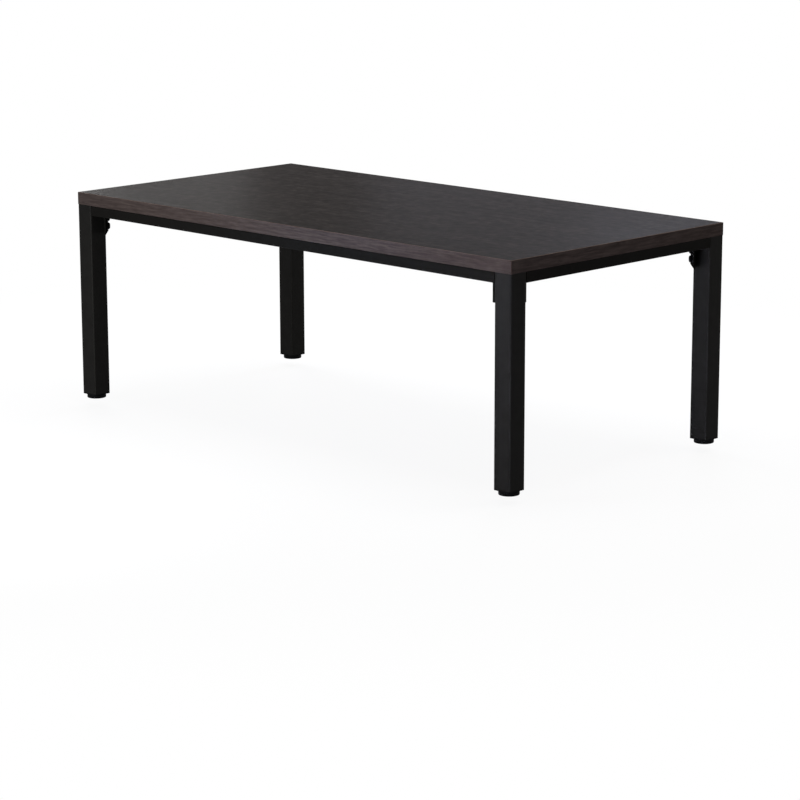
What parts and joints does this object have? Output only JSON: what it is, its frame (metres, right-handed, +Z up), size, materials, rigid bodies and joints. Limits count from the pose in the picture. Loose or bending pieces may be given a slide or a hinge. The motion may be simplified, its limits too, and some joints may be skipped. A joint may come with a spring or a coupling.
{
  "type": "low table",
  "caption": "Low rectangular table: dark wood-grain board on a black square-tube steel frame with bolted legs, corner plates and round screw-adjusted feet.",
  "frame": {"origin": "on the floor, under the middle of the board", "axes": "+X along the board's length, +Y along its width, +Z up; front is the long side towards -Y"},
  "size_m": [1.2, 0.6, 0.43],
  "materials": {
    "chipboard": "raw chipboard, hidden",
    "wood_laminate": "satin dark wood-grain laminate",
    "backing_laminate": "matt plain laminate",
    "edge_band": "satin wood-grain edge band",
    "black_steel": "fine satin black powder coat",
    "bare_steel": "bare mild steel, hidden",
    "zinc_steel": "bright zinc plate",
    "black_screws": "black zinc plate",
    "black_plastic": "moulded black plastic"
  },
  "bodies": {
    "table": {"top_core": "chipboard", "top_face_sheet": "wood_laminate", "top_backing_sheet": "backing_laminate", "edge_band_front": "edge_band", "rail_front": "black_steel", "edge_band_back": "edge_band", "rail_back": "black_steel", "edge_band_left": "edge_band", "rail_left": "black_steel", "edge_band_right": "edge_band", "rail_right": "black_steel", "corner_plate_front_left": "black_steel", "leg_front_left": "black_steel", "nut_plate_front_left": "bare_steel", "end_plug_front_left": "black_plastic", "foot_bush_front_left": "zinc_steel", "corner_plate_front_right": "black_steel", "leg_front_right": "black_steel", "nut_plate_front_right": "bare_steel", "end_plug_front_right": "black_plastic", "foot_bush_front_right": "zinc_steel", "corner_plate_back_right": "black_steel", "leg_back_right": "black_steel", "nut_plate_back_right": "bare_steel", "end_plug_back_right": "black_plastic", "foot_bush_back_right": "zinc_steel", "corner_plate_back_left": "black_steel", "leg_back_left": "black_steel", "nut_plate_back_left": "bare_steel", "end_plug_back_left": "black_plastic", "foot_bush_back_left": "zinc_steel", "leg_bolts": "black_screws", "spring_washers": "black_screws", "top_screws": "zinc_steel"},
    "pad_front_left": {"foot_pad_front_left": "black_plastic"},
    "stem_front_left": {"foot_stem_front_left": "zinc_steel"},
    "pad_front_right": {"foot_pad_front_right": "black_plastic"},
    "stem_front_right": {"foot_stem_front_right": "zinc_steel"},
    "pad_back_right": {"foot_pad_back_right": "black_plastic"},
    "stem_back_right": {"foot_stem_back_right": "zinc_steel"},
    "pad_back_left": {"foot_pad_back_left": "black_plastic"},
    "stem_back_left": {"foot_stem_back_left": "zinc_steel"}
  },
  "joints": [
    {"name": "foot_height_front_left", "type": "slide", "parent": "table", "child": "pad_front_left", "axis": [0, 0, -1], "range_m": [0, 0.015]},
    {"name": "foot_turn_front_left", "type": "hinge", "parent": "pad_front_left", "child": "stem_front_left", "pos_m": [-0.58, -0.28, 0.02], "axis": [0, 0, -1], "range_deg": [0, 4320]},
    {"name": "foot_height_front_right", "type": "slide", "parent": "table", "child": "pad_front_right", "axis": [0, 0, -1], "range_m": [0, 0.015]},
    {"name": "foot_turn_front_right", "type": "hinge", "parent": "pad_front_right", "child": "stem_front_right", "pos_m": [0.58, -0.28, 0.02], "axis": [0, 0, -1], "range_deg": [0, 4320]},
    {"name": "foot_height_back_right", "type": "slide", "parent": "table", "child": "pad_back_right", "axis": [0, 0, -1], "range_m": [0, 0.015]},
    {"name": "foot_turn_back_right", "type": "hinge", "parent": "pad_back_right", "child": "stem_back_right", "pos_m": [0.58, 0.28, 0.02], "axis": [0, 0, -1], "range_deg": [0, 4320]},
    {"name": "foot_height_back_left", "type": "slide", "parent": "table", "child": "pad_back_left", "axis": [0, 0, -1], "range_m": [0, 0.015]},
    {"name": "foot_turn_back_left", "type": "hinge", "parent": "pad_back_left", "child": "stem_back_left", "pos_m": [-0.58, 0.28, 0.02], "axis": [0, 0, -1], "range_deg": [0, 4320]}
  ],
  "couplings": [
    {"joint": "foot_height_front_left", "follows": "foot_turn_front_left", "m_per_rad": 0.00019894},
    {"joint": "foot_height_front_right", "follows": "foot_turn_front_right", "m_per_rad": 0.00019894},
    {"joint": "foot_height_back_right", "follows": "foot_turn_back_right", "m_per_rad": 0.00019894},
    {"joint": "foot_height_back_left", "follows": "foot_turn_back_left", "m_per_rad": 0.00019894}
  ]
}
